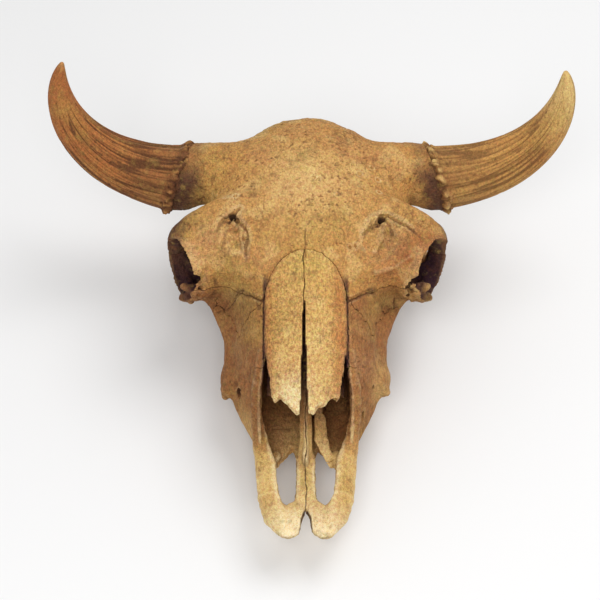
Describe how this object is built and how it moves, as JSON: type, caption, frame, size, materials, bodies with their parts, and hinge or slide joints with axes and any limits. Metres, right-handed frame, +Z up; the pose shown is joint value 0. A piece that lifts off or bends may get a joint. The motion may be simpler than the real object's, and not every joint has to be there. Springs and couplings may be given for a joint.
{
  "type": "bison skull",
  "caption": "Dry bison skull with grooved horn cores and no lower jaw, lying as it rests on its cheek teeth and the skull's base.",
  "frame": {"origin": "bottom centre of the skull's box, on the floor it lies on", "axes": "+X towards the picture's right, which is the animal's left; -Y the way the snout points; +Z up"},
  "size_m": [0.616, 0.5301, 0.2947],
  "materials": {
    "vault_bone": "dry matt bone, tan with ochre and green-yellow mottling and fine pits",
    "base_bone": "dry matt bone, darker brown in the hollows",
    "nasal_bone": "dry matt bone, paler ochre, speckled",
    "snout_bone": "dry matt bone, pale ochre, worn smooth at the edges",
    "face_bone": "dry matt bone, brown with tan patches",
    "horn_core": "dry matt bone, red-brown, with lengthwise grooves and pits"
  },
  "bodies": {
    "root": {"frontals": "vault_bone", "braincase": "base_bone", "occipital": "base_bone", "nasal_left": "nasal_bone", "nasal_right": "nasal_bone", "premaxilla_left": "snout_bone", "premaxilla_right": "snout_bone", "maxilla_left": "face_bone", "maxilla_right": "face_bone", "lacrimal_left": "face_bone", "lacrimal_right": "face_bone", "zygomatic_left": "face_bone", "zygomatic_right": "face_bone", "palatine": "base_bone", "vomer": "base_bone", "horn_core_left": "horn_core", "horn_core_right": "horn_core"}
  },
  "joints": []
}
